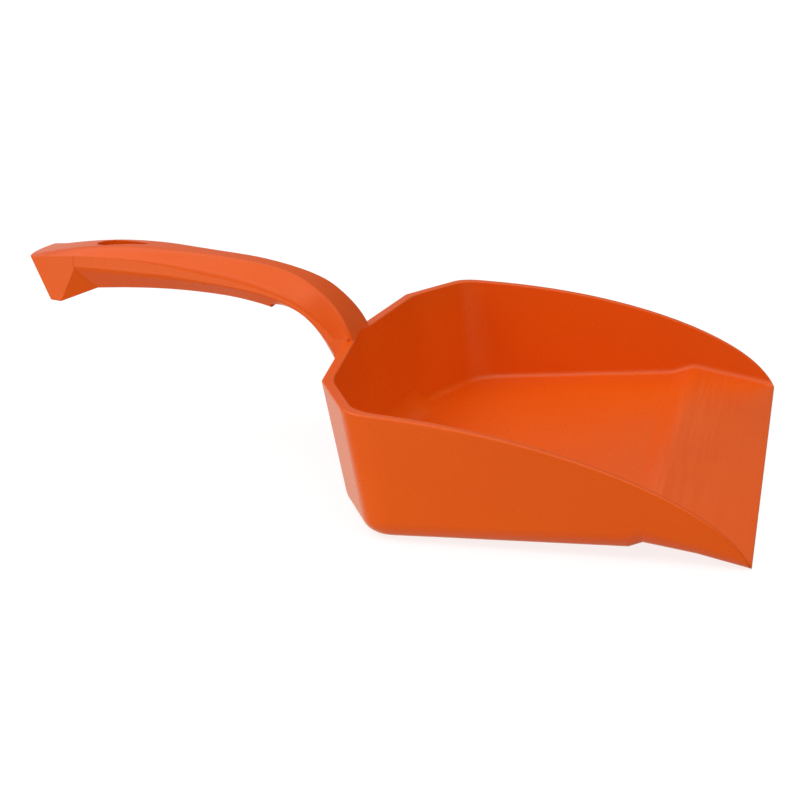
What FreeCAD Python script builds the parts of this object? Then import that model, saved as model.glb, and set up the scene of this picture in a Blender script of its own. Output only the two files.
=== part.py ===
"""One-piece moulded hand scoop: a drafted pan with an open mouth and a faceted carrying handle.

Frame: millimetres, +Z up, +X out of the mouth, the XZ plane is the plane of symmetry.
The moulding is set out from a datum at the back of the pan, with the flat underside at Z = 0.
At the end it is moved along X so that the origin is the middle of that flat underside.
"""
import FreeCAD, Part
import math
import os
import Sketcher

from FreeCAD import Vector

NODE = "scoop_moulding"

# alias, value, what it is (lengths in mm, angles in degrees)
DIMENSIONS = [
    ("datum_to_origin", 75.0, "back of pan datum to the middle of the flat underside"),
    ("lip_x", 197.5, "leading edge of the lip"),
    ("vee_point_x", -10.4, "middle of the back wall, at the rim"),
    ("vee_round", 160.0, "round in the middle of the back wall"),
    ("back_corner_x", -1.3, "corner of back wall and chamfer wall, at the rim"),
    ("back_corner_y", 90.7, "the same corner, across"),
    ("chamfer_end_x", 21.2, "corner of chamfer wall and side wall, at the rim"),
    ("chamfer_end_y", 139.2, "the same corner, across"),
    ("rim_level", 62.0, "level at which the rim corners are given"),
    ("outer_side_y", 131.2, "outer side wall at Z = 0, X = 0"),
    ("outer_flare", 0.082, "outer side wall: mm outward per mm forward"),
    ("outer_draft", 0.1036, "outer side walls: mm outward per mm up"),
    ("outer_back_draft", 0.142, "outer back and chamfer walls: mm outward per mm up"),
    ("inner_side_y", 128.2, "inner side wall at Z = 0, X = 0"),
    ("inner_flare", 0.0857, "inner side wall: mm outward per mm forward"),
    ("inner_draft", 0.067, "inner side walls: mm outward per mm up"),
    ("inner_back_draft", 0.105, "inner back and chamfer walls: mm outward per mm up"),
    ("rim_width", 5.2, "width of the rim at the back"),
    ("corner_round_low", 18.0, "outer round between chamfer and side wall, at the underside"),
    ("corner_round_rim", 14.0, "the same round, at the rim"),
    ("back_round_low", 14.0, "outer round between back and chamfer wall, at the underside"),
    ("back_round_rim", 5.0, "the same round, at the rim"),
    ("inner_back_round_low", 90.0, "inner round between back and chamfer wall, at the floor"),
    ("inner_back_round_rim", 40.0, "the same round, at the rim"),
    ("inner_corner_round_low", 26.0, "inner round between chamfer and side wall, at the floor"),
    ("inner_corner_round_rim", 15.0, "the same round, at the rim"),
    ("foot_round", 9.0, "outer round between walls and underside"),
    ("floor_round_back", 13.0, "inner round between the back walls and the floor"),
    ("floor_round_side", 3.5, "inner round between the side walls and the floor"),
    ("lip_round", 5.5, "outer round at the lip"),
    ("rim_edge_round", 0.7, "round on the edges of the rim"),
    ("floor_thickness", 3.0, "floor"),
    ("step_x", 144.7, "underside: where the flat underside ends"),
    ("step_end_x", 151.0, "underside: top of the step"),
    ("step_rise", 2.4, "underside: height of the step"),
    ("ramp_x", 141.0, "floor: foot of the ramp"),
    ("crest_x", 153.0, "floor: crest of the ramp"),
    ("crest_rise", 6.2, "floor: height of the crest before it is rounded"),
    ("crest_round", 9.0, "floor: rounds at the foot and the crest of the ramp"),
    ("lip_under_z", -6.8, "underside of the lip edge"),
    ("lip_hollow", 0.9, "how far the underside of the lip curves up from a straight line"),
    ("lip_thickness", 1.5, "lip edge"),
    ("working_height", 84.0, "height of the blanks before the rim is trimmed"),
    ("grip_half_width", 17.0, "handle, widest edges"),
    ("neck_half_width", 18.2, "neck, widest edges"),
    ("grip_base_half", 10.0, "handle, flat underside of the grip"),
    ("neck_base_half", 14.0, "handle, flat underside of the neck"),
    ("ridge_half", 10.5, "crowned top at the end of the handle"),
    ("band_half", 6.5, "flat band along the top of the grip"),
    ("foot_band_half", 17.2, "front face at the foot of the neck"),
    ("base_round", 1.2, "round on the edges of its underside"),
    ("relief_x", -47.0, "step in the underside between grip and neck"),
    ("end_half_width", 17.15, "handle end block"),
    ("end_block_top", 108.2, "handle end block, level of its shoulders"),
    ("end_block_front_x", -149.8, "handle end block, front of its flat sides"),
    ("bevel_top_z", 102.0, "bevel from the flat sides to the grip, top corner"),
    ("bevel_front_x", -139.8, "the same bevel, corner on the underside of the grip"),
    ("bevel_front_z", 90.6, "level of that corner"),
    ("tip_x", -158.9, "low tip of the handle end"),
    ("tip_z", 84.9, "level of the tip"),
    ("tip_length", 5.9, "flat underside of the tip"),
    ("tip_rise", 1.1, "how much that flat rises towards the end"),
    ("end_top_x", -176.8, "handle end, top edge at the middle"),
    ("end_top_z", 110.0, "handle end, level of the top edge"),
    ("end_lean", 20.56, "lean of the end face"),
    ("end_bulge", 48.0, "end face: radius seen from above"),
    ("hole_big_x", -135.6, "hanging hole, centre of the wide end"),
    ("hole_big_radius", 6.6, "hanging hole, wide end"),
    ("hole_tip_x", -116.6, "hanging hole, centre of the narrow end"),
    ("hole_tip_radius", 1.8, "hanging hole, narrow end"),
    ("cutter_room", 20.0, "how far the hole's cutter reaches above the handle end"),
    ("collar_half_width", 18.9, "collar where the neck meets the rim"),
    ("collar_back_x", -14.0, "collar, back edge"),
    ("collar_front_x", -6.5, "collar, front edge"),
    ("collar_low_z", 50.0, "collar, bottom on the back wall"),
    ("collar_top_z", 63.9, "collar, top"),
]

# Edges of the handle seen from the side, from its end down into the back wall:
# poles of smooth curves, X and Z.
CROWN_GUIDE = [
    (-188, 107.1),
    (-170.6, 109.4),
    (-132.3, 114.8),
    (-81.1, 106.1),
    (-21.9, 96.9),
    (-2.2, 66.8),
    (-0.8, 46),
]
UPPER_GUIDE = [(-188, 108.8), (-165, 109.2), (-121.7, 108.3), (-52, 95.6), (-16, 75), (-5, 46)]
LOWER_GUIDE = [(-188, 102.7), (-164.2, 104.5), (-122.7, 98.4), (-47.4, 90.4), (-19.8, 74.7), (-7, 40)]
BASE_GUIDE = [
    (-188, 90),
    (-172.3, 89.7),
    (-138.2, 90.5),
    (-94.7, 89.7),
    (-38.6, 80.1),
    (-21.6, 66.3),
    (-9, 40),
]

# The underside of the neck lies a little above the continued underside of the grip.
NECK_GUIDE = [(-60, 79), (-51.5, 81.1), (-35.3, 83.4), (-18.6, 62.5), (-13.5, 47.5), (-8, 36)]

# How the handle changes along its length: share of the length from the end, and the value there.
NECK_SHARE = [(0, 0), (0.6, 0), (0.8, 1), (1, 1)]
CROWN_ROUND = [(0, 12), (0.38, 12), (0.55, 4), (0.7, 3), (0.9, 2), (1, 1)]
UPPER_ROUND = [(0, 0.6), (0.3, 0.8), (0.5, 5), (0.65, 5), (0.85, 2), (1, 0.8)]
LOWER_ROUND = [(0, 4), (0.42, 4), (0.55, 1.2), (1, 1.2)]
HANDLE_SECTIONS = 18

# Rim line of the side walls seen from the side, from behind the pan to near the lip: X and Z.
RIM_POINTS = [
    (-40.0, 65.0),
    (30.0, 59.8),
    (71.9, 53.9),
    (113.8, 44.0),
    (147.3, 32.1),
    (172.4, 19.3),
    (187.5, 7.9),
]

# How far tool shapes reach past what they cut, and how near counts as touching.
REACH = 100.0
PAST_END = 10.0
PAST_LIP = 6.0
TOUCHING = 0.02

# Healing of the rounded rim: working, least and greatest tolerance.
HEALING = (1e-6, 1e-6, 1e-3)


class Dimensions:
    """Reads the sheet's cells by alias."""

    def __init__(self, sheet):
        self.sheet = sheet

    def __getattr__(self, alias):
        return float(self.sheet.get(alias))


def make_sheet(doc):
    """The driving dimensions, one aliased cell each."""
    sheet = doc.addObject("Spreadsheet::Sheet", "Dimensions")
    for row, (alias, value, meaning) in enumerate(DIMENSIONS, start=1):
        sheet.set(f"A{row}", meaning)
        sheet.set(f"B{row}", str(value))
        sheet.setAlias(f"B{row}", alias)
    doc.recompute()
    return sheet


# ---------------------------------------------------------------- outlines


def mirrored(point):
    """The same point on the other side of the XZ plane."""
    return Vector(point.x, -point.y, point.z)


def shifted(start, end, distance):
    """The line start-end moved to its right by distance."""
    along = (end - start).normalize()
    sideways = Vector(along.y, -along.x, 0) * distance
    return start + sideways, end + sideways


def meeting_point(first, second):
    """Where two lines in plan cross."""
    along = first[1] - first[0]
    other = second[1] - second[0]
    gap = second[0] - first[0]
    share = (gap.x * other.y - gap.y * other.x) / (along.x * other.y - along.y * other.x)
    return first[0] + along * share


def corner_arc(before, corner, after, radius):
    """Start, middle and end of the round that replaces a corner."""
    back = (before - corner).normalize()
    ahead = (after - corner).normalize()
    half_angle = back.getAngle(ahead) / 2
    run = radius / math.tan(half_angle)
    bisector = (back + ahead).normalize()
    centre = corner + bisector * (radius / math.sin(half_angle))
    return corner + back * run, centre - bisector * radius, corner + ahead * run


def rounded_wire(corners):
    """A closed outline through (corner, round) pairs; a round of 0 leaves the corner sharp."""
    count = len(corners)
    arcs = []
    for index, (corner, radius) in enumerate(corners):
        before = corners[index - 1][0]
        after = corners[(index + 1) % count][0]
        arcs.append(corner_arc(before, corner, after, radius))
    edges = []
    for index, (start, through, end) in enumerate(arcs):
        if corners[index][1] > 0:
            edges.append(Part.Arc(start, through, end).toShape())
        edges.append(Part.makeLine(end, arcs[(index + 1) % count][0]))
    return Part.Wire(edges)


def both_sides(corners):
    """The outline corners of one side, followed by their mirror images in reverse."""
    return corners + [(mirrored(point), radius) for point, radius in reversed(corners)]


# ---------------------------------------------------------------- pan


def plan_wire(dims, level, inset, side_y, flare, back_round, corner_round, front_x):
    """The pan's closed outline at one level; inset is measured in from the outer rim corners."""
    vee = Vector(dims.vee_point_x, 0, 0)
    back_corner = Vector(dims.back_corner_x, dims.back_corner_y, 0)
    chamfer_end = Vector(dims.chamfer_end_x, dims.chamfer_end_y, 0)
    back_line = shifted(vee, back_corner, inset)
    chamfer_line = shifted(back_corner, chamfer_end, inset)
    front = Vector(front_x, side_y + front_x * flare, 0)
    side_line = (Vector(0, side_y, 0), front)
    corner = meeting_point(back_line, chamfer_line)
    turn = meeting_point(chamfer_line, side_line)
    middle = meeting_point(back_line, (Vector(0, 0, 0), Vector(1, 0, 0)))
    side = [(corner, back_round), (turn, corner_round), (front, 0.0)]
    corners = [(middle, dims.vee_round)] + both_sides(side)
    return rounded_wire([(point + Vector(0, 0, level), radius) for point, radius in corners])


def rounded_tub(low_wire, high_wire, front_x, bottom_round):
    """A drafted block between two outlines, its bottom edges rounded except at the flat front."""
    block = Part.makeLoft([low_wire, high_wire], True, True)
    low_level = block.BoundBox.ZMin
    bottom_edges = []
    for edge in block.Edges:
        at_bottom = edge.BoundBox.ZMax < low_level + TOUCHING
        at_front = edge.BoundBox.XMin > front_x - TOUCHING
        if at_bottom and not at_front:
            bottom_edges.append(edge)
    return block.makeFillet(bottom_round, bottom_edges)


def front_wire(block, front_x):
    """The outline of the block's flat front face."""
    for face in block.Faces:
        if face.BoundBox.XMin > front_x - TOUCHING:
            return face.OuterWire
    raise ValueError("the block has no flat front")


def channel_wire(x, low, high, side_y, flare, draft, bottom_round):
    """A cross-section of the front part: flat bottom, rounds, leaning sides, flat top."""
    foot = Vector(x, side_y + x * flare + low * draft, low)
    head = Vector(x, side_y + x * flare + high * draft, high)
    return rounded_wire(both_sides([(foot, bottom_round), (head, 0.0)]))


def hull_shape(dims):
    """The outside of the pan as a solid block, from the back to the lip."""
    top = dims.working_height

    def outline(level, back_round, corner_round):
        inset = dims.outer_back_draft * (dims.rim_level - level)
        side_y = dims.outer_side_y + dims.outer_draft * level
        return plan_wire(dims, level, inset, side_y, dims.outer_flare, back_round, corner_round, dims.step_x)

    def section(x, low, bottom_round):
        return channel_wire(x, low, top, dims.outer_side_y, dims.outer_flare, dims.outer_draft, bottom_round)

    low_outline = outline(0, dims.back_round_low, dims.corner_round_low)
    high_outline = outline(top, dims.back_round_rim, dims.corner_round_rim)
    rear = rounded_tub(low_outline, high_outline, dims.step_x, dims.foot_round)
    middle_x = (dims.step_end_x + dims.lip_x) / 2
    middle_low = (dims.step_rise + dims.lip_under_z) / 2 + dims.lip_hollow
    sections = [
        front_wire(rear, dims.step_x),
        section(dims.step_end_x, dims.step_rise, dims.foot_round),
        section(middle_x, middle_low, (dims.foot_round + dims.lip_round) / 2),
        section(dims.lip_x, dims.lip_under_z, dims.lip_round),
    ]
    return rear.fuse(Part.makeLoft(sections, True, True)).removeSplitter()


def across(corners, half_width):
    """A block across the pan whose outline seen from the side has these (corner, round) pairs."""
    face = Part.Face(rounded_wire(corners))
    face.translate(Vector(0, -half_width, 0))
    return face.extrude(Vector(0, 2 * half_width, 0))


def wall_space_shape(dims):
    """The space between the inner walls, from below the floor up and from the back out over the lip."""

    def outline(level, back_round, corner_round):
        inset = dims.rim_width + dims.inner_back_draft * (dims.rim_level - level)
        side_y = dims.inner_side_y + dims.inner_draft * level
        front_x = dims.lip_x + PAST_LIP
        return plan_wire(dims, level, inset, side_y, dims.inner_flare, back_round, corner_round, front_x)

    low = outline(dims.lip_under_z - PAST_LIP, dims.inner_back_round_low, dims.inner_corner_round_low)
    high = outline(dims.working_height, dims.inner_back_round_rim, dims.inner_corner_round_rim)
    return Part.makeLoft([low, high], True, True)


def floor_shape(dims):
    """Everything under the upper side of the floor: flat, then up a ramp to the crest and down to the lip."""
    lip_top = dims.lip_under_z + dims.lip_thickness
    fall = (dims.crest_rise - lip_top) / (dims.lip_x - dims.crest_x)
    front_x = dims.lip_x + 2 * PAST_LIP
    corners = [
        (Vector(-REACH, 0, -REACH), 0.0),
        (Vector(-REACH, 0, dims.floor_thickness), 0.0),
        (Vector(dims.ramp_x, 0, dims.floor_thickness), dims.crest_round),
        (Vector(dims.crest_x, 0, dims.crest_rise), dims.crest_round),
        (Vector(front_x, 0, dims.crest_rise - (front_x - dims.crest_x) * fall), 0.0),
        (Vector(front_x, 0, -REACH), 0.0),
    ]
    return across(corners, 2 * REACH)


def floor_edge_rounds(dims, space):
    """Edge number and rounds at both its ends for each edge between a wall and the floor."""
    side, back = dims.floor_round_side, dims.floor_round_back
    rounds = []
    for number, edge in enumerate(space.Edges, start=1):
        box = edge.BoundBox
        on_floor = box.ZMax < dims.crest_rise + TOUCHING and box.ZMin > dims.lip_under_z - PAST_LIP / 2
        if not on_floor or box.XLength < TOUCHING:
            continue
        start, end = [back if vertex.X < dims.chamfer_end_x else side for vertex in edge.Vertexes]
        rounds.append((number, start, end))
    return rounds


def rim_trim_shape(dims):
    """Everything above the rim line, as a block across the pan."""
    lip_top = Vector(dims.lip_x, 0, dims.lip_under_z + dims.lip_thickness)
    points = [Vector(x, 0, z) for x, z in RIM_POINTS] + [lip_top]
    rim_line = Part.BSplineCurve()
    rim_line.interpolate(points)
    back = points[0]
    ahead = Vector(dims.lip_x + PAST_LIP, 0, lip_top.z)
    top_ahead = Vector(ahead.x, 0, dims.working_height + REACH)
    top_back = Vector(back.x, 0, top_ahead.z)
    edges = [rim_line.toShape()] + Part.makePolygon([lip_top, ahead, top_ahead, top_back, back]).Edges
    face = Part.Face(Part.Wire(edges))
    face.translate(Vector(0, -2 * REACH, 0))
    return face.extrude(Vector(0, 4 * REACH, 0))


def rounded_rim_shape(dims, pan, rim_trim):
    """The trimmed pan with the long edges of its rim rounded."""
    curved = (face for face in rim_trim.Faces if face.Surface.TypeId == "Part::GeomSurfaceOfExtrusion")
    rim_face = next(curved)
    edges = []
    for edge in pan.Edges:
        gaps = [rim_face.distToShape(Part.Vertex(point))[0] for point in edge.discretize(5)]
        at_lip = edge.BoundBox.XMin > dims.lip_x - TOUCHING
        if max(gaps) < TOUCHING and not at_lip:
            edges.append(edge)
    rounded = pan.makeFillet(dims.rim_edge_round, edges)
    rounded.fix(*HEALING)
    return rounded


# ---------------------------------------------------------------- handle


def guide_curve(points):
    """A smooth curve in the XZ plane with these poles."""
    curve = Part.BSplineCurve()
    curve.buildFromPoles([Vector(x, 0, z) for x, z in points], False, 3)
    return curve


def blend(share, values):
    """A value read off a table of (share along the handle, value) pairs, straight in between."""
    for (start, low), (end, high) in zip(values, values[1:]):
        if share <= end:
            return low + (high - low) * (share - start) / (end - start)
    return values[-1][1]


def handle_planes():
    """Planes across the handle, evenly spaced along its upper edge: share of the length, and the plane."""
    upper = guide_curve(UPPER_GUIDE)
    for index, point in enumerate(upper.discretize(HANDLE_SECTIONS)):
        along = upper.tangent(upper.parameter(point))[0]
        yield index / (HANDLE_SECTIONS - 1), Part.Plane(point, along)


def crossing(guide, plane):
    """Where a guide passes through a plane."""
    points = [Vector(p.X, 0, p.Z) for p in guide_curve(guide).intersectCS(plane)[0]]
    return min(points, key=plane.Position.distanceToPoint)


def beam_wire(dims, share, plane):
    """One eight-sided section of the handle with its corners rounded."""
    guides = (CROWN_GUIDE, UPPER_GUIDE, LOWER_GUIDE, BASE_GUIDE)
    crown, upper, lower, base = [crossing(guide, plane) for guide in guides]
    neck = blend(share, NECK_SHARE)
    half = dims.grip_half_width + (dims.neck_half_width - dims.grip_half_width) * neck
    base_half = dims.grip_base_half + (dims.neck_base_half - dims.grip_base_half) * neck
    ridge, band, foot = dims.ridge_half, dims.band_half, dims.foot_band_half
    band_half = blend(share, [(0, ridge), (0.38, ridge), (0.5, band), (0.7, band), (0.92, foot), (1, foot)])
    side = [
        (crown + Vector(0, band_half, 0), blend(share, CROWN_ROUND)),
        (upper + Vector(0, half, 0), blend(share, UPPER_ROUND)),
        (lower + Vector(0, half, 0), blend(share, LOWER_ROUND)),
        (base + Vector(0, base_half, 0), dims.base_round),
    ]
    return rounded_wire(both_sides(side))


def beam_shape(dims):
    """The faceted beam of the handle, from its end down the neck into the back wall."""
    wires = [beam_wire(dims, share, plane) for share, plane in handle_planes()]
    return Part.makeLoft(wires, True, False)


def end_block_shape(dims):
    """The flared end of the handle: flat sides, a low tip and a bevel down to the grip on each side."""
    half = dims.end_half_width
    behind = dims.end_top_x - PAST_END
    shoulder_front = Vector(dims.end_block_front_x, 0, dims.end_block_top)
    side_front = Vector(dims.end_block_front_x, 0, dims.bevel_top_z)
    grip_under = Vector(dims.bevel_front_x, 0, dims.bevel_front_z)
    tip_front = Vector(dims.tip_x, 0, dims.tip_z)
    tip_back = Vector(dims.tip_x - dims.tip_length, 0, dims.tip_z + dims.tip_rise)
    profile = [
        Vector(behind, 0, dims.end_block_top),
        shoulder_front,
        side_front,
        grip_under,
        tip_front,
        tip_back,
        Vector(behind, 0, tip_back.z),
    ]
    block = across([(corner, 0.0) for corner in profile], half)
    for side in (-1, 1):
        corners = [
            side_front + Vector(0, side * half, 0),
            grip_under + Vector(0, side * dims.grip_base_half, 0),
            tip_front + Vector(0, side * half, 0),
        ]
        outward = (corners[1] - corners[0]).cross(corners[2] - corners[0]).normalize()
        outward = outward * math.copysign(1, outward.y * side)
        middle = (corners[0] + corners[1] + corners[2]) / 3
        waste = Part.makeBox(REACH, REACH, REACH, Vector(-REACH / 2, -REACH / 2, 0))
        waste.Placement = FreeCAD.Placement(middle, FreeCAD.Rotation(Vector(0, 0, 1), outward))
        block = block.cut(waste)
    return block


def relief_shape(dims):
    """A layer of material under the neck: its top is the underside that the neck is given."""
    overlap = 12.0
    depth = 14.0
    margin = 6.0
    inner_round = 2.0
    wires = []
    for _, plane in handle_planes():
        upper, lower, base = [crossing(guide, plane) for guide in (UPPER_GUIDE, LOWER_GUIDE, BASE_GUIDE)]
        if base.x < dims.relief_x - overlap:
            continue
        down = (base - upper).normalize()
        floor = crossing(NECK_GUIDE, plane)
        run = dims.neck_half_width - dims.neck_base_half
        outer = lower - (floor - lower) * (margin / run)
        wide = dims.neck_half_width + margin
        side = [
            (floor + Vector(0, dims.neck_base_half, 0), inner_round),
            (outer + Vector(0, wide, 0), 0.0),
            (floor + down * depth + Vector(0, wide, 0), 0.0),
        ]
        wires.append(rounded_wire(both_sides(side)))
    return Part.makeLoft(wires, True, False)


def hanging_hole_body(doc, dims):
    """The teardrop slot through the handle end, as a body that is taken away from the handle."""
    body = doc.addObject("PartDesign::Body", "HangingHole")
    sketch = body.newObject("Sketcher::SketchObject", "TeardropOutline")
    plan = next(feature for feature in body.Origin.OriginFeatures if feature.Role == "XY_Plane")
    sketch.AttachmentSupport = (plan, "")
    sketch.MapMode = "FlatFace"
    big_centre, big_side = Vector(dims.hole_big_x, 0, 0), Vector(0, dims.hole_big_radius, 0)
    tip_centre, tip_side = Vector(dims.hole_tip_x, 0, 0), Vector(0, dims.hole_tip_radius, 0)
    big_circle = Part.Circle(big_centre, Vector(0, 0, 1), big_side.y)
    tip_circle = Part.Circle(tip_centre, Vector(0, 0, 1), tip_side.y)
    quarter = math.pi / 2
    big = sketch.addGeometry(Part.ArcOfCircle(big_circle, quarter, 3 * quarter))
    tip = sketch.addGeometry(Part.ArcOfCircle(tip_circle, -quarter, quarter))
    near = sketch.addGeometry(Part.LineSegment(big_centre - big_side, tip_centre - tip_side))
    far = sketch.addGeometry(Part.LineSegment(tip_centre + tip_side, big_centre + big_side))
    start, end, middle = 1, 2, 3
    for first, first_end, second, second_end in (
        (big, end, near, start),
        (near, end, tip, start),
        (tip, end, far, start),
        (far, end, big, start),
    ):
        sketch.addConstraint(Sketcher.Constraint("Tangent", first, first_end, second, second_end))
    x_axis = -1
    sketch.addConstraint(Sketcher.Constraint("PointOnObject", big, middle, x_axis))
    sketch.addConstraint(Sketcher.Constraint("PointOnObject", tip, middle, x_axis))
    origin = (-1, 1)
    sizes = [
        ("BigCentre", ("DistanceX", big, middle, *origin, -dims.hole_big_x), "-Dimensions.hole_big_x"),
        ("TipCentre", ("DistanceX", tip, middle, *origin, -dims.hole_tip_x), "-Dimensions.hole_tip_x"),
        ("BigRadius", ("Radius", big, dims.hole_big_radius), "Dimensions.hole_big_radius"),
        ("TipRadius", ("Radius", tip, dims.hole_tip_radius), "Dimensions.hole_tip_radius"),
    ]
    for name, constraint, formula in sizes:
        index = sketch.addConstraint(Sketcher.Constraint(*constraint))
        sketch.renameConstraint(index, name)
        sketch.setExpression("Constraints." + name, formula)
    pad = body.newObject("PartDesign::Pad", "TeardropPrism")
    pad.Profile = sketch
    pad.setExpression("Length", "Dimensions.end_top_z + Dimensions.cutter_room")
    doc.recompute()
    return body


# ---------------------------------------------------------------- document


def add_shape(doc, name, shape):
    """A document object that holds one shape of the model."""
    feature = doc.addObject("Part::Feature", name)
    feature.Shape = shape
    return feature


def add_boolean(doc, kind, name, base, tool):
    """A cut, fuse or common of two document objects."""
    feature = doc.addObject("Part::" + kind, name)
    feature.Base = base
    feature.Tool = tool
    return feature


def add_end_waste(doc, dims):
    """What is taken off behind the handle: a leaning block, hollowed by the cylinder of the end face."""
    margin = 40.0
    turn = FreeCAD.Rotation(Vector(0, 1, 0), -dims.end_lean)
    top_edge = Vector(dims.end_top_x, 0, dims.end_top_z)
    low_corner = top_edge + turn.multVec(Vector(-margin, -margin, -2 * margin))
    axis_foot = top_edge + turn.multVec(Vector(dims.end_bulge, 0, -2 * margin))
    block = doc.addObject("Part::Box", "EndWasteBlock")
    block.setExpression("Length", f"Dimensions.end_bulge + {margin}")
    block.Width = 2 * margin
    block.Height = 3 * margin
    block.Placement = FreeCAD.Placement(low_corner, turn)
    cylinder = doc.addObject("Part::Cylinder", "EndFaceCylinder")
    cylinder.setExpression("Radius", "Dimensions.end_bulge")
    cylinder.Height = 3 * margin
    cylinder.Placement = FreeCAD.Placement(axis_foot, turn)
    return add_boolean(doc, "Cut", "EndWaste", block, cylinder)


def add_relief(doc, dims):
    """The underside relief, limited to what lies beyond the grip."""
    layer = add_shape(doc, "ReliefLayer", relief_shape(dims))
    beyond_grip = doc.addObject("Part::Box", "BeyondGrip")
    beyond_grip.Length = REACH
    beyond_grip.Width = 2 * REACH
    beyond_grip.Height = 2 * REACH
    beyond_grip.setExpression("Placement.Base.x", "Dimensions.relief_x")
    beyond_grip.setExpression("Placement.Base.y", "-Width / 2")
    beyond_grip.setExpression("Placement.Base.z", "-Height / 2")
    return add_boolean(doc, "Common", "UndersideRelief", layer, beyond_grip)


def add_collar(doc):
    """The foot of the neck: a slightly wider block on the back wall, with a low step on the rim."""
    collar = doc.addObject("Part::Box", "Collar")
    collar.setExpression("Length", "Dimensions.collar_front_x - Dimensions.collar_back_x")
    collar.setExpression("Width", "2 * Dimensions.collar_half_width")
    collar.setExpression("Height", "Dimensions.collar_top_z - Dimensions.collar_low_z")
    collar.setExpression("Placement.Base.x", "Dimensions.collar_back_x")
    collar.setExpression("Placement.Base.y", "-Width / 2")
    collar.setExpression("Placement.Base.z", "Dimensions.collar_low_z")
    return collar


def add_hollow(doc, dims):
    """The space inside the pan, its floor edges rounded broadly at the back and tightly along the sides."""
    walls = add_shape(doc, "WallSpace", wall_space_shape(dims))
    floor = add_shape(doc, "FloorBlock", floor_shape(dims))
    sharp = add_boolean(doc, "Cut", "SharpHollow", walls, floor)
    sharp.Refine = True
    doc.recompute()
    hollow = doc.addObject("Part::Fillet", "Hollow")
    hollow.Base = sharp
    hollow.Edges = floor_edge_rounds(dims, sharp.Shape)
    doc.recompute()
    return hollow


def add_pan(doc, dims, hollow):
    """The open pan with its rim cut to line and rounded."""
    hull = add_shape(doc, "Hull", hull_shape(dims))
    rim_trim = add_shape(doc, "RimTrim", rim_trim_shape(dims))
    shell = add_boolean(doc, "Cut", "Shell", hull, hollow)
    trimmed = add_boolean(doc, "Cut", "TrimmedShell", shell, rim_trim)
    doc.recompute()
    return add_shape(doc, "Pan", rounded_rim_shape(dims, trimmed.Shape.removeSplitter(), rim_trim.Shape))


def add_handle(doc, dims, hollow):
    """The handle with its end, hole, relief and collar, cleared of the inside of the pan."""
    beam = add_shape(doc, "Beam", beam_shape(dims))
    relieved = add_boolean(doc, "Cut", "RelievedBeam", beam, add_relief(doc, dims))
    block = add_shape(doc, "EndBlock", end_block_shape(dims))
    blank = add_boolean(doc, "Fuse", "HandleBlank", relieved, block)
    ended = add_boolean(doc, "Cut", "EndedHandle", blank, add_end_waste(doc, dims))
    holed = add_boolean(doc, "Cut", "HoledHandle", ended, hanging_hole_body(doc, dims))
    collared = add_boolean(doc, "Fuse", "CollaredHandle", holed, add_collar(doc))
    return add_boolean(doc, "Cut", "Handle", collared, hollow)


def check(doc, result):
    """Stops if any object failed or the moulding isn't one sound solid."""
    for feature in doc.Objects:
        if "Invalid" in feature.State or "Error" in feature.State:
            raise ValueError(f"{feature.Name} failed: {feature.State}")
    if result.Shape.isNull() or not result.Shape.isValid():
        raise ValueError("the moulding's shape is not valid")
    if len(result.Shape.Solids) != 1:
        raise ValueError("the moulding is not one solid")


def main():
    doc = FreeCAD.newDocument("hand_scoop")
    dims = Dimensions(make_sheet(doc))
    hollow = add_hollow(doc, dims)
    pan = add_pan(doc, dims, hollow)
    handle = add_handle(doc, dims, hollow)
    scoop = add_boolean(doc, "Fuse", "Scoop", pan, handle)
    scoop.Refine = True
    scoop.Label = NODE
    scoop.Placement = FreeCAD.Placement(Vector(-dims.datum_to_origin, 0, 0), FreeCAD.Rotation())
    doc.recompute()
    check(doc, scoop)
    os.makedirs("parts", exist_ok=True)
    scoop.Shape.exportStep(os.path.join("parts", NODE + ".step"))


main()
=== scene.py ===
"""Looks for the moulded hand scoop: one piece of orange polypropylene on a pale studio floor.

Everything is in metres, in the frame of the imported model: +Z up, +X out of the mouth.
"""
import math

import bpy
from mathutils import Matrix, Vector


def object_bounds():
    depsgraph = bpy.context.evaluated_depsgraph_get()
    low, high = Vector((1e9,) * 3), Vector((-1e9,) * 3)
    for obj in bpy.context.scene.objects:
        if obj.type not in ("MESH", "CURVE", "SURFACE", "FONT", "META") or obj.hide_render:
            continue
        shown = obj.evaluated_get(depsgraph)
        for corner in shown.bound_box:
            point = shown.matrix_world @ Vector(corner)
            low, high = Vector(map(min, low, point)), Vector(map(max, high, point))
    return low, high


NODE = "scoop_moulding"

# camera: an orbit round a point on the object's plane of symmetry
CAMERA_LENS = 85.1
CAMERA_SENSOR = 36.0
CAMERA_DISTANCE = 0.9714
CAMERA_AZIMUTH = math.radians(13.58)
CAMERA_ELEVATION = math.radians(15.41)
CAMERA_ROLL = math.radians(-3.57)
AIM_FORWARD = 0.0032
AIM_HEIGHT_SHARE = 0.286

# colours of the moulding: the pigment, its deeper flow marks, scuffs, dust and grit
ORANGE = (0.84, 0.105, 0.0005, 1)
ORANGE_DEEP = (0.81, 0.096, 0.0005, 1)
SCUFF = (0.85, 0.32, 0.14, 1)
DUST = (0.85, 0.26, 0.10, 1)
GRIT = (0.22, 0.03, 0.004, 1)

# textures: scales are cells per metre, sizes are shares of a cell, shares say how many cells have a speck
FLOW_SCALE = 18.0
GRAIN_SCALE = 900.0
NOISE_RANGE = (0.3, 0.7)
DUST_SCALE = 160
DUST_SIZE = 0.055
DUST_SHARE = 0.30
GRIT_SCALE = 55
GRIT_SIZE = 0.030
GRIT_SHARE = 0.22
SPECK_CORE = 0.6
SPECK_CHOICE_STEP = 0.01

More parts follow.
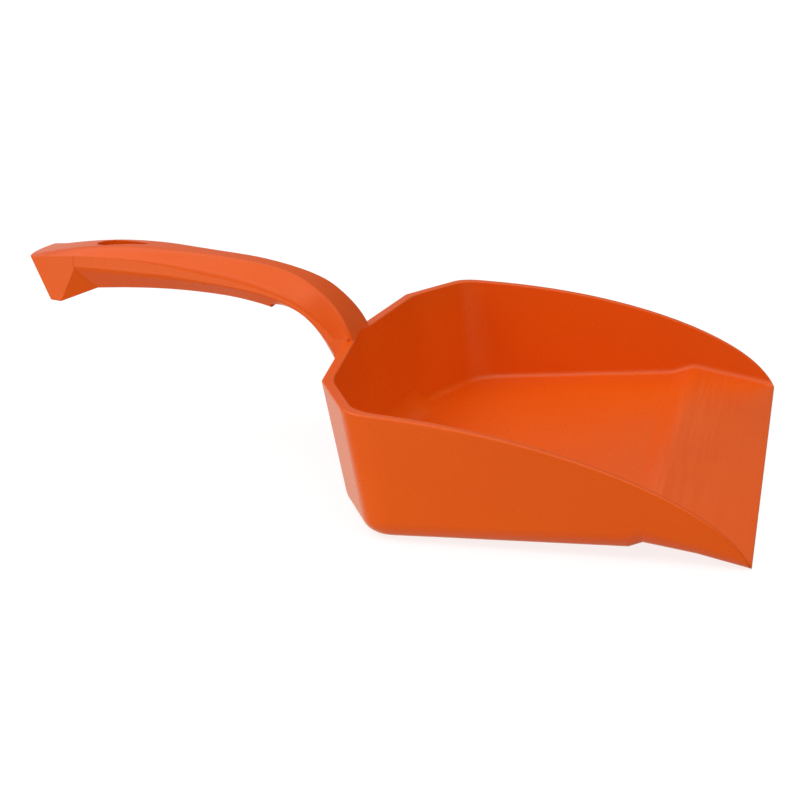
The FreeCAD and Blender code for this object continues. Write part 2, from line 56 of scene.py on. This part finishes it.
# gloss of the moulding; where it is worn, it is rougher and paler by these amounts
ROUGHNESS = (0.27, 0.35)
INDEX_OF_REFRACTION = 1.49
SPECULAR_LEVEL = 0.46
SPECULAR_TINT = (1.0, 0.9, 0.75, 1)
WORN_ROUGHNESS = 0.12
WORN_COLOUR_SHARE = 0.12
EDGE_ROUND = 0.0006
EDGE_SAMPLES = 8
GRAIN_STRENGTH = 0.04
GRAIN_DEPTH = 0.0002

# wear across the mouth: where it starts along X, how it fades in and out, and how level a face has to be
WEAR_START = 0.066
WEAR_FULL = WEAR_START + 0.012
WEAR_FADES = WEAR_START + 0.016
WEAR_FADED = WEAR_START + 0.04
WEAR_ON_LIP = 0.35
WEAR_STRETCH = (420, 9, 60)
WEAR_MARKS = (0.45, 0.75)
LEVEL_FACE = (0.8, 0.95)

# studio floor
FLOOR_SIZE = 12.0
FLOOR_GAP = 0.0002
REAR_REST_FROM_LIP = 0.1925
FLOOR_ALBEDO = 0.25
FLOOR_GLOW = 0.82

# surroundings: brightness and tint by height (-1 below, 1 above), then shares for the four sides
WHITE = (1, 1, 1)
WARM = (1.0, 0.8, 0.42)
WORLD_BY_HEIGHT = [
    (-1.0, 0.65),
    (-0.5, 0.56),
    (0.05, 0.34),
    (0.3, 0.22),
    (0.55, 0.52),
    (0.82, 1.55),
    (1.0, 1.1),
]
TINT_BY_HEIGHT = [(-1.0, WHITE), (-0.7, WARM), (-0.1, WARM), (0.35, WHITE)]
WORLD_LEFT = 1.3
WORLD_RIGHT = 0.7
WORLD_FRONT = 1.42
WORLD_BACK = 0.5
SIDE_REACH = 0.9

# a white card low at the back left: its direction, how bright it is, and where its edge fades (cosines)
CARD_DIRECTION = (-0.52, 0.80, -0.30)
CARD_LEVEL = 0.65
CARD_EDGE = (0.75, 0.97)

# soft lights: name, place, side of the square, watts, colour, and whether glossy faces mirror it
SOFTBOXES = [
    ("key", (-1.3, -0.7, 1.4), 1.1, 4.5, WHITE, True),
    ("fill", (-0.36, -0.60, 0.03), 0.35, 0.85, (1.0, 0.9, 0.75), True),
    ("mouth", (1.5, -0.5, 0.3), 0.8, 3.0, WHITE, False),
]


def link(tree, start, end):
    """Joins an output socket to an input socket."""
    tree.links.new(start, end)


def add_node(tree, kind, **inputs):
    """A shader node with some of its inputs set by name."""
    node = tree.nodes.new(kind)
    for name, value in inputs.items():
        node.inputs[name.replace("_", " ")].default_value = value
    return node


def noise(tree, coordinates, scale, detail=3.0, rough=0.5):
    """A noise texture in the object's own coordinates."""
    texture = add_node(tree, "ShaderNodeTexNoise", Scale=scale, Detail=detail, Roughness=rough)
    link(tree, coordinates, texture.inputs["Vector"])
    return texture.outputs["Fac"]


def remap(tree, value, low, high, out_low=0, out_high=1):
    """A value moved from one range to another, clamped."""
    node = add_node(tree, "ShaderNodeMapRange")
    node.inputs["From Min"].default_value = low
    node.inputs["From Max"].default_value = high
    node.inputs["To Min"].default_value = out_low
    node.inputs["To Max"].default_value = out_high
    link(tree, value, node.inputs["Value"])
    return node.outputs["Result"]


def height_ramp(tree, value, stops):
    """A colour read off a list of (height from -1 to 1, colour) stops."""
    node = tree.nodes.new("ShaderNodeValToRGB")
    ramp = node.color_ramp
    while len(ramp.elements) < len(stops):
        ramp.elements.new(0.5)
    for element, (height, colour) in zip(ramp.elements, stops):
        element.position = (height + 1) / 2
        element.color = (*colour, 1)
    link(tree, remap(tree, value, -1, 1, 0, 1), node.inputs["Fac"])
    return node.outputs["Color"]


def calculate(tree, operation, first, second):
    """Two values put together by a Math node."""
    node = tree.nodes.new("ShaderNodeMath")
    node.operation = operation
    link(tree, first, node.inputs[0])
    link(tree, second, node.inputs[1])
    return node.outputs["Value"]


def multiply(tree, first, second):
    """The product of two values."""
    return calculate(tree, "MULTIPLY", first, second)


def add(tree, first, second):
    """The sum of two values."""
    return calculate(tree, "ADD", first, second)


def constant(tree, number):
    """A plain number as a socket."""
    node = tree.nodes.new("ShaderNodeValue")
    node.outputs["Value"].default_value = number
    return node.outputs["Value"]


def mix_colours(tree, share, first, second):
    """Two colours blended; first and second are sockets or plain colours."""
    node = tree.nodes.new("ShaderNodeMix")
    node.data_type = "RGBA"
    link(tree, share, node.inputs["Factor"])
    for name, colour in (("A", first), ("B", second)):
        socket = next(s for s in node.inputs if s.name == name and s.type == "RGBA")
        if isinstance(colour, tuple):
            socket.default_value = colour
        else:
            link(tree, colour, socket)
    return next(s for s in node.outputs if s.type == "RGBA")


def specks(tree, coordinates, scale, size, share):
    """Sparse round dots, 1 inside and 0 outside: only a share of the texture's cells have one."""
    cells = add_node(tree, "ShaderNodeTexVoronoi", Scale=scale)
    link(tree, coordinates, cells.inputs["Vector"])
    dots = remap(tree, cells.outputs["Distance"], size, size * SPECK_CORE)
    chosen = remap(tree, cells.outputs["Color"], share, share - SPECK_CHOICE_STEP)
    return multiply(tree, dots, chosen)


def components(tree, vector):
    """The X, Y and Z of a vector, as the outputs of one node."""
    node = tree.nodes.new("ShaderNodeSeparateXYZ")
    link(tree, vector, node.inputs["Vector"])
    return node.outputs


def streaks(tree, coordinates):
    """Fine wear marks across the mouth, 0 to 1: on the ramp and the lip, strongest at the crest."""
    stretch = tree.nodes.new("ShaderNodeVectorMath")
    stretch.operation = "MULTIPLY"
    link(tree, coordinates, stretch.inputs[0])
    stretch.inputs[1].default_value = WEAR_STRETCH
    marks = noise(tree, stretch.outputs["Vector"], scale=1.0, detail=5.0, rough=0.65)
    along = components(tree, coordinates)["X"]
    starts = remap(tree, along, WEAR_START, WEAR_FULL)
    fades = remap(tree, along, WEAR_FADES, WEAR_FADED, 1, WEAR_ON_LIP)
    normal = tree.nodes.new("ShaderNodeNewGeometry").outputs["True Normal"]
    upward = remap(tree, components(tree, normal)["Z"], *LEVEL_FACE)
    worn = multiply(tree, multiply(tree, starts, fades), upward)
    return multiply(tree, remap(tree, marks, *WEAR_MARKS), worn)


def surface_colour(tree, coordinates, worn):
    """The pigment with its flow marks, then scuffs, dust and grit over it."""
    flow = remap(tree, noise(tree, coordinates, FLOW_SCALE), *NOISE_RANGE)
    colour = mix_colours(tree, flow, ORANGE, ORANGE_DEEP)
    scuffed = multiply(tree, worn, constant(tree, WORN_COLOUR_SHARE))
    colour = mix_colours(tree, scuffed, colour, SCUFF)
    dust = specks(tree, coordinates, DUST_SCALE, DUST_SIZE, DUST_SHARE)
    colour = mix_colours(tree, dust, colour, DUST)
    grit = specks(tree, coordinates, GRIT_SCALE, GRIT_SIZE, GRIT_SHARE)
    return mix_colours(tree, grit, colour, GRIT)


def surface_normal(tree, grain):
    """Softened edges with a very slight grain on top."""
    edge = add_node(tree, "ShaderNodeBevel", Radius=EDGE_ROUND)
    edge.samples = EDGE_SAMPLES
    bump = add_node(tree, "ShaderNodeBump", Strength=GRAIN_STRENGTH, Distance=GRAIN_DEPTH)
    link(tree, grain, bump.inputs["Height"])
    link(tree, edge.outputs["Normal"], bump.inputs["Normal"])
    return bump.outputs["Normal"]


def new_material(name):
    """An empty node material: the material, its node tree and its output node."""
    material = bpy.data.materials.new(name)
    material.use_nodes = True
    tree = material.node_tree
    tree.nodes.clear()
    return material, tree, tree.nodes.new("ShaderNodeOutputMaterial")


def polypropylene():
    """Orange moulded polypropylene, satin, with slight flow marks, specks and wear on the lip."""
    material, tree, output = new_material("orange_polypropylene_moulded")
    shader = tree.nodes.new("ShaderNodeBsdfPrincipled")
    link(tree, shader.outputs["BSDF"], output.inputs["Surface"])
    coordinates = tree.nodes.new("ShaderNodeTexCoord").outputs["Object"]
    worn = streaks(tree, coordinates)
    grain = noise(tree, coordinates, GRAIN_SCALE, detail=2.0)
    satin = remap(tree, grain, *NOISE_RANGE, *ROUGHNESS)
    rougher = multiply(tree, worn, constant(tree, WORN_ROUGHNESS))
    link(tree, surface_colour(tree, coordinates, worn), shader.inputs["Base Color"])
    link(tree, add(tree, satin, rougher), shader.inputs["Roughness"])
    link(tree, surface_normal(tree, grain), shader.inputs["Normal"])
    shader.inputs["IOR"].default_value = INDEX_OF_REFRACTION
    shader.inputs["Specular IOR Level"].default_value = SPECULAR_LEVEL
    shader.inputs["Specular Tint"].default_value = SPECULAR_TINT
    return material


def add_shaders(tree, first, second):
    """The light of two shaders together."""
    node = tree.nodes.new("ShaderNodeAddShader")
    link(tree, first, node.inputs[0])
    link(tree, second, node.inputs[1])
    return node.outputs["Shader"]


def switch_shaders(tree, share, first, second):
    """The first shader where the share is 0, the second where it is 1."""
    node = tree.nodes.new("ShaderNodeMixShader")
    link(tree, share, node.inputs["Fac"])
    link(tree, first, node.inputs[1])
    link(tree, second, node.inputs[2])
    return node.outputs["Shader"]


def floor_material():
    """Pale and matt, seen only from above; partly lit by itself, so that shadows on it stay light."""
    material, tree, output = new_material("studio_floor")
    matt = add_node(tree, "ShaderNodeBsdfDiffuse", Color=(FLOOR_ALBEDO, FLOOR_ALBEDO, FLOOR_ALBEDO, 1))
    glow = add_node(tree, "ShaderNodeEmission", Color=(1, 1, 1, 1), Strength=FLOOR_GLOW)
    lit = add_shaders(tree, matt.outputs["BSDF"], glow.outputs["Emission"])
    clear = tree.nodes.new("ShaderNodeBsdfTransparent").outputs["BSDF"]
    below = tree.nodes.new("ShaderNodeNewGeometry").outputs["Backfacing"]
    link(tree, switch_shaders(tree, below, lit, clear), output.inputs["Surface"])
    return material


def add_floor(low, high):
    """The scoop rests on its lip and on the back of its underside, so the floor leans by that much."""
    lip = Vector((high.x, 0, low.z))
    heel = Vector((high.x - REAR_REST_FROM_LIP, 0, 0))
    tilt = math.atan2(heel.z - lip.z, lip.x - heel.x)
    mesh = bpy.data.meshes.new("studio_floor")
    half = FLOOR_SIZE / 2
    corners = [(-half, -half, 0), (half, -half, 0), (half, half, 0), (-half, half, 0)]
    mesh.from_pydata(corners, [], [(0, 1, 2, 3)])
    floor = bpy.data.objects.new("studio_floor", mesh)
    bpy.context.scene.collection.objects.link(floor)
    below_lip = lip - Vector((0, 0, FLOOR_GAP))
    floor.matrix_world = Matrix.Translation(below_lip) @ Matrix.Rotation(tilt, 4, "Y")
    floor.visible_diffuse = False
    floor.visible_glossy = False
    mesh.materials.append(floor_material())


def card_lobe(tree, direction):
    """Brightness of the white card, which the rear facets mirror at a shallow angle."""
    dot = tree.nodes.new("ShaderNodeVectorMath")
    dot.operation = "DOT_PRODUCT"
    link(tree, direction, dot.inputs[0])
    dot.inputs[1].default_value = Vector(CARD_DIRECTION).normalized()
    return remap(tree, dot.outputs["Value"], *CARD_EDGE, 0, CARD_LEVEL)


def surroundings(tree, direction):
    """The soft studio light itself, by height and by side."""
    parts = components(tree, direction)
    levels = [(height, (level, level, level)) for height, level in WORLD_BY_HEIGHT]
    height = height_ramp(tree, parts["Z"], levels)
    side = remap(tree, parts["X"], -SIDE_REACH, SIDE_REACH, WORLD_LEFT, WORLD_RIGHT)
    front = remap(tree, parts["Y"], -SIDE_REACH, SIDE_REACH, WORLD_FRONT, WORLD_BACK)
    light = tree.nodes.new("ShaderNodeBackground")
    link(tree, height_ramp(tree, parts["Z"], TINT_BY_HEIGHT), light.inputs["Color"])
    link(tree, multiply(tree, multiply(tree, height, side), front), light.inputs["Strength"])
    return light.outputs["Background"]


def add_world():
    """Surroundings and the white card light the scoop; the camera sees plain white."""
    world = bpy.data.worlds.new("studio")
    bpy.context.scene.world = world
    world.use_nodes = True
    tree = world.node_tree
    tree.nodes.clear()
    output = tree.nodes.new("ShaderNodeOutputWorld")
    direction = tree.nodes.new("ShaderNodeTexCoord").outputs["Generated"]
    card = add_node(tree, "ShaderNodeBackground", Color=(1, 1, 1, 1))
    link(tree, card_lobe(tree, direction), card.inputs["Strength"])
    lit = add_shaders(tree, surroundings(tree, direction), card.outputs["Background"])
    seen = add_node(tree, "ShaderNodeBackground", Color=(1, 1, 1, 1), Strength=1.0)
    camera_ray = tree.nodes.new("ShaderNodeLightPath").outputs["Is Camera Ray"]
    plain = switch_shaders(tree, camera_ray, lit, seen.outputs["Background"])
    link(tree, plain, output.inputs["Surface"])


def add_softbox(aim, name, location, size, power, colour, mirrored):
    """A square soft light, turned towards a point."""
    light = bpy.data.lights.new(name, "AREA")
    light.shape = "SQUARE"
    light.size = size
    light.energy = power
    light.color = colour
    lamp = bpy.data.objects.new(name, light)
    bpy.context.scene.collection.objects.link(lamp)
    lamp.location = location
    lamp.visible_glossy = mirrored
    lamp.rotation_euler = (aim - Vector(location)).to_track_quat("-Z", "Y").to_euler()


def add_camera(low, high):
    """The camera looks across the pan from its right-hand side, a little from above and from the mouth."""
    middle = (low.x + high.x) / 2
    height = high.z - low.z
    aim = Vector((middle + AIM_FORWARD, 0, low.z + AIM_HEIGHT_SHARE * height))
    level = math.cos(CAMERA_ELEVATION)
    sideways = -math.sin(CAMERA_AZIMUTH) * level
    onward = math.cos(CAMERA_AZIMUTH) * level
    forward = Vector((sideways, onward, -math.sin(CAMERA_ELEVATION)))
    right = forward.cross(Vector((0, 0, 1))).normalized()
    up = right.cross(forward)
    turned_right = right * math.cos(CAMERA_ROLL) + up * math.sin(CAMERA_ROLL)
    turned_up = up * math.cos(CAMERA_ROLL) - right * math.sin(CAMERA_ROLL)
    data = bpy.data.cameras.new("camera")
    data.lens = CAMERA_LENS
    data.sensor_width = CAMERA_SENSOR
    camera = bpy.data.objects.new("camera", data)
    bpy.context.scene.collection.objects.link(camera)
    turn = Matrix((turned_right, turned_up, -forward)).transposed().to_4x4()
    camera.matrix_world = Matrix.Translation(aim - forward * CAMERA_DISTANCE) @ turn
    bpy.context.scene.camera = camera


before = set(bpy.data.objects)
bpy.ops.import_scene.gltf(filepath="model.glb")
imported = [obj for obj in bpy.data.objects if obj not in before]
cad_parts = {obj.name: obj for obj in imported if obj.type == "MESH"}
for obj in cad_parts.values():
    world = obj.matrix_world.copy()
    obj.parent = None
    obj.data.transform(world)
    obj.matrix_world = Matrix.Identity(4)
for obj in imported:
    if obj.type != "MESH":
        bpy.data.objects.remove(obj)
cad_low, cad_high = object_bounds()

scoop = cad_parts[NODE]
scoop.material_slots[0].material = polypropylene()

add_floor(cad_low, cad_high)
add_world()
for softbox in SOFTBOXES:
    add_softbox((cad_low + cad_high) / 2, *softbox)
add_camera(cad_low, cad_high)
bpy.context.scene.view_settings.view_transform = "Standard"
